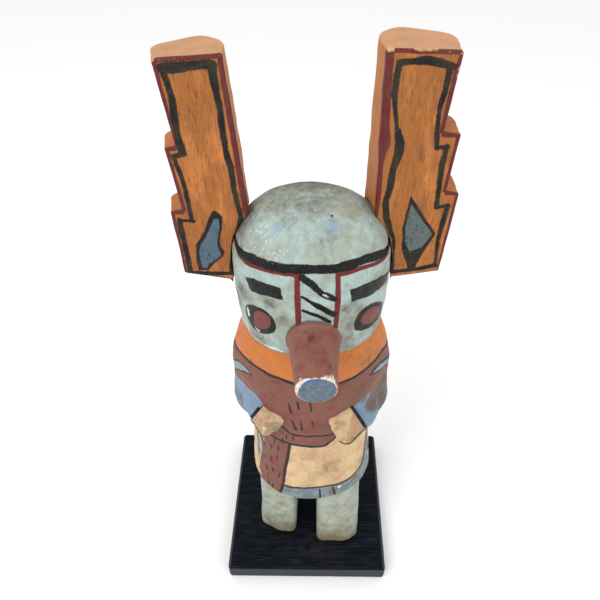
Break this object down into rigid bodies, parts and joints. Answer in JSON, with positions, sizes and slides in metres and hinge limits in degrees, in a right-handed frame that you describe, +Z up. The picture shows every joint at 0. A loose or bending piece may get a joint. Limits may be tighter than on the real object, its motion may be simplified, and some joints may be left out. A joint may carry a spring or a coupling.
{
  "type": "kachina doll",
  "caption": "Carved and painted wooden kachina doll with tall stepped horns and a rod snout, standing on a flat block for display",
  "frame": {"origin": "middle of the display block's underside, which is the face the doll stands on", "axes": "+Z up along the doll, +X to a viewer's right, -Y toward the viewer whom the face looks at"},
  "size_m": [0.0891, 0.0816, 0.2382],
  "materials": {
    "painted_root": "matt",
    "horn_paint": "matt",
    "snout_paint": "matt",
    "black_paint": "satin"
  },
  "bodies": {
    "root": {"figure": "painted_root", "left_horn": "horn_paint", "right_horn": "horn_paint", "snout": "snout_paint", "plinth": "black_paint"}
  },
  "joints": []
}
